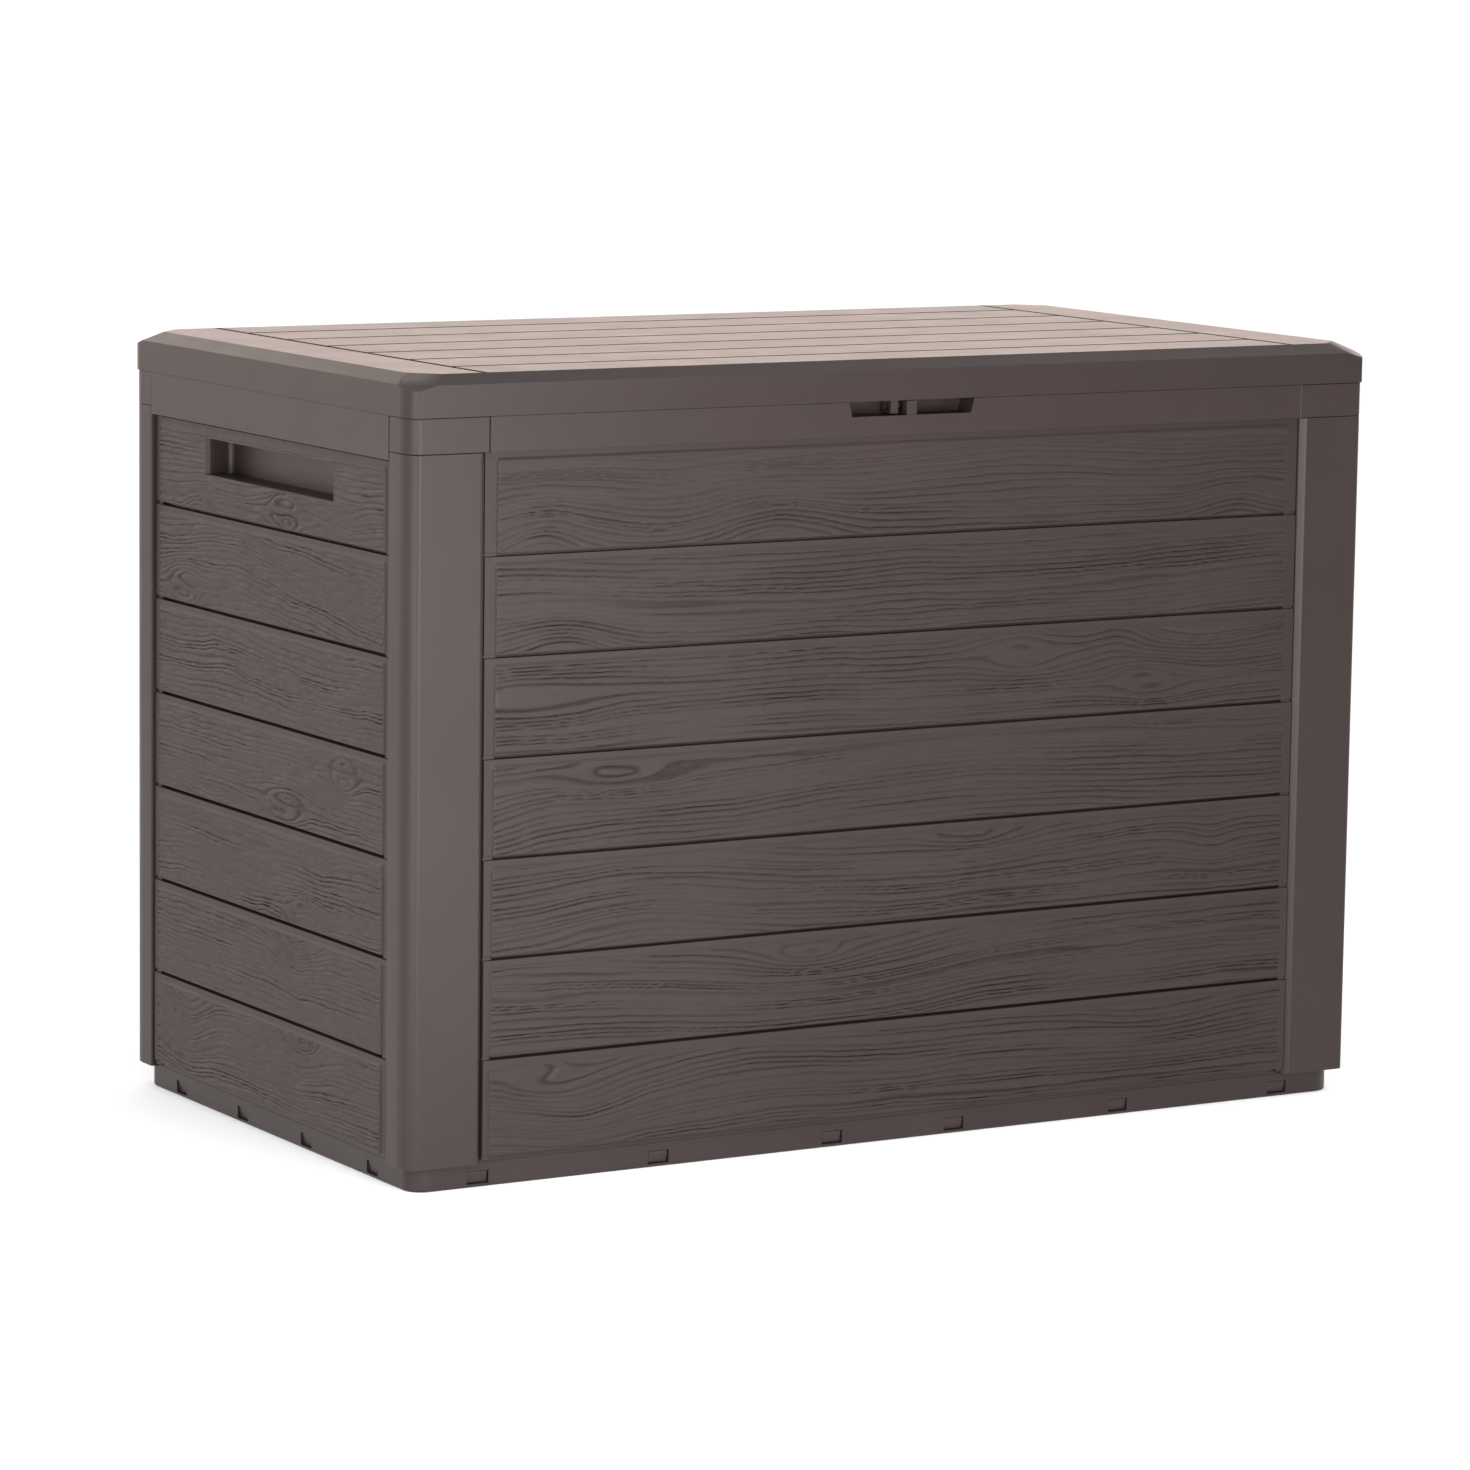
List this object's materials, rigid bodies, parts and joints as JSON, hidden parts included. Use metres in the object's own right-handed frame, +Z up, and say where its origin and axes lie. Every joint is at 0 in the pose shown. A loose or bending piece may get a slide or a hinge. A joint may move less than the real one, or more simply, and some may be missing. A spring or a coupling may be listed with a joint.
{
  "type": "deck storage box",
  "caption": "Lidded resin storage chest with plank-look walls, corner posts, end grips, a rear-hinged lid and a padlock recess.",
  "frame": {"origin": "centre of the base's underside, on the ground", "axes": "+X along the length towards the right end, +Y towards the back, where the hinges are, +Z up"},
  "size_m": [0.78, 0.433, 0.55],
  "materials": {
    "resin_brown": "smooth satin moulded resin",
    "resin_grained": "moulded wood-grain relief",
    "resin_lid": "fine satin moulded resin",
    "hinge_resin": "smooth dark nylon",
    "pin_steel": "turned rod",
    "screw_steel": "zinc plated"
  },
  "bodies": {
    "chest": {"base_tray": "resin_brown", "front_wall": "resin_grained", "back_wall": "resin_grained", "left_wall": "resin_grained", "right_wall": "resin_grained", "front_left_post": "resin_brown", "front_right_post": "resin_brown", "back_left_post": "resin_brown", "back_right_post": "resin_brown", "front_left_cap": "resin_brown", "front_right_cap": "resin_brown", "back_left_cap": "resin_brown", "back_right_cap": "resin_brown", "front_rail": "resin_brown", "back_rail": "resin_brown", "left_hinge_bracket": "hinge_resin", "right_hinge_bracket": "hinge_resin", "left_hinge_pin": "pin_steel", "right_hinge_pin": "pin_steel", "hinge_bracket_screws": "screw_steel"},
    "lid": {"lid_shell": "resin_lid", "padlock_tongue": "resin_lid", "left_hinge_arm": "hinge_resin", "right_hinge_arm": "hinge_resin", "hinge_arm_screws": "screw_steel"}
  },
  "joints": [
    {"name": "lid_hinge", "type": "hinge", "parent": "chest", "child": "lid", "pos_m": [0, 0.2115, 0.52], "axis": [-1, 0, 0], "range_deg": [0, 96]}
  ]
}
